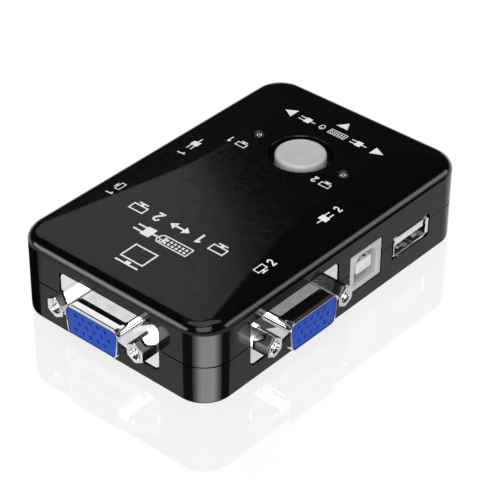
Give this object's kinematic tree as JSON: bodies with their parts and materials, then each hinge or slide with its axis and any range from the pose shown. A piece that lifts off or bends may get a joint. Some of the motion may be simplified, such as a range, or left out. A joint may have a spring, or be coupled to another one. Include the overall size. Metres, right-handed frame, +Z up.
{
  "type": "kvm switch",
  "caption": "Low rounded box that switches one monitor, keyboard and mouse between computers, with video and USB sockets round its sides and a round push button on top.",
  "frame": {"origin": "middle of the case's flat underside", "axes": "+X out of the computer 1 side, +Y out of the monitor end, +Z up out of the top face with the button"},
  "size_m": [0.0708, 0.0994, 0.0233],
  "materials": {
    "case_black": "moulded ABS with a fine satin sheen",
    "screw_steel": "zinc plated",
    "board_green": "solder mask over glass-fibre laminate",
    "button_grey": "smooth moulded plastic, light grey",
    "chip_black": "moulded epoxy",
    "tinned_steel": "bright tinned sheet and wire",
    "off_white": "moulded nylon",
    "contact_gold": "flash gold over copper alloy",
    "lamp_lens": "smoked clear epoxy dome",
    "socket_nickel": "bright nickel plate over drawn steel",
    "video_blue": "glass-filled plastic, video-socket blue",
    "socket_white": "moulded PBT, white",
    "capacitor_sleeve": "shrunk film sleeve"
  },
  "bodies": {
    "case": {"bottom_cover": "case_black", "top_cover": "case_black", "case_screws": "screw_steel", "pcb": "board_green", "pcb_screws": "screw_steel", "tact_base": "chip_black", "tact_plate": "tinned_steel", "tact_dome": "contact_gold", "tact_pins": "tinned_steel", "lamp_1": "lamp_lens", "lamp_2": "lamp_lens", "lamp_leads": "tinned_steel", "lamp_spacers": "off_white", "vga_monitor_shell": "socket_nickel", "vga_monitor_insert": "video_blue", "vga_monitor_body": "chip_black", "vga_monitor_bracket": "tinned_steel", "vga_monitor_contacts": "contact_gold", "vga_monitor_jackscrews": "socket_nickel", "vga_pc1_shell": "socket_nickel", "vga_pc1_insert": "video_blue", "vga_pc1_body": "chip_black", "vga_pc1_bracket": "tinned_steel", "vga_pc1_contacts": "contact_gold", "vga_pc1_jackscrews": "socket_nickel", "vga_pc2_shell": "socket_nickel", "vga_pc2_insert": "video_blue", "vga_pc2_body": "chip_black", "vga_pc2_bracket": "tinned_steel", "vga_pc2_contacts": "contact_gold", "vga_pc2_jackscrews": "socket_nickel", "usb_b_1_housing": "socket_white", "usb_b_1_shield": "tinned_steel", "usb_b_1_contacts": "contact_gold", "usb_b_2_housing": "socket_white", "usb_b_2_shield": "tinned_steel", "usb_b_2_contacts": "contact_gold", "usb_a_1_shell": "socket_nickel", "usb_a_1_insulator": "socket_white", "usb_a_1_contacts": "contact_gold", "usb_a_2_shell": "socket_nickel", "usb_a_2_insulator": "socket_white", "usb_a_2_contacts": "contact_gold", "usb_a_3_shell": "socket_nickel", "usb_a_3_insulator": "socket_white", "usb_a_3_contacts": "contact_gold", "controller_chip": "chip_black", "controller_leads": "tinned_steel", "video_chips": "chip_black", "video_chip_leads": "tinned_steel", "crystal": "tinned_steel", "capacitors": "capacitor_sleeve", "chip_resistors": "chip_black"},
    "button": {"button_cap": "button_grey", "tact_plunger": "off_white"}
  },
  "joints": [
    {"name": "button_press", "type": "slide", "parent": "case", "child": "button", "axis": [0, 0, -1], "range_m": [0, 0.0004], "stiffness_N_per_m": 4000, "deforming": ["tact_dome"]}
  ]
}
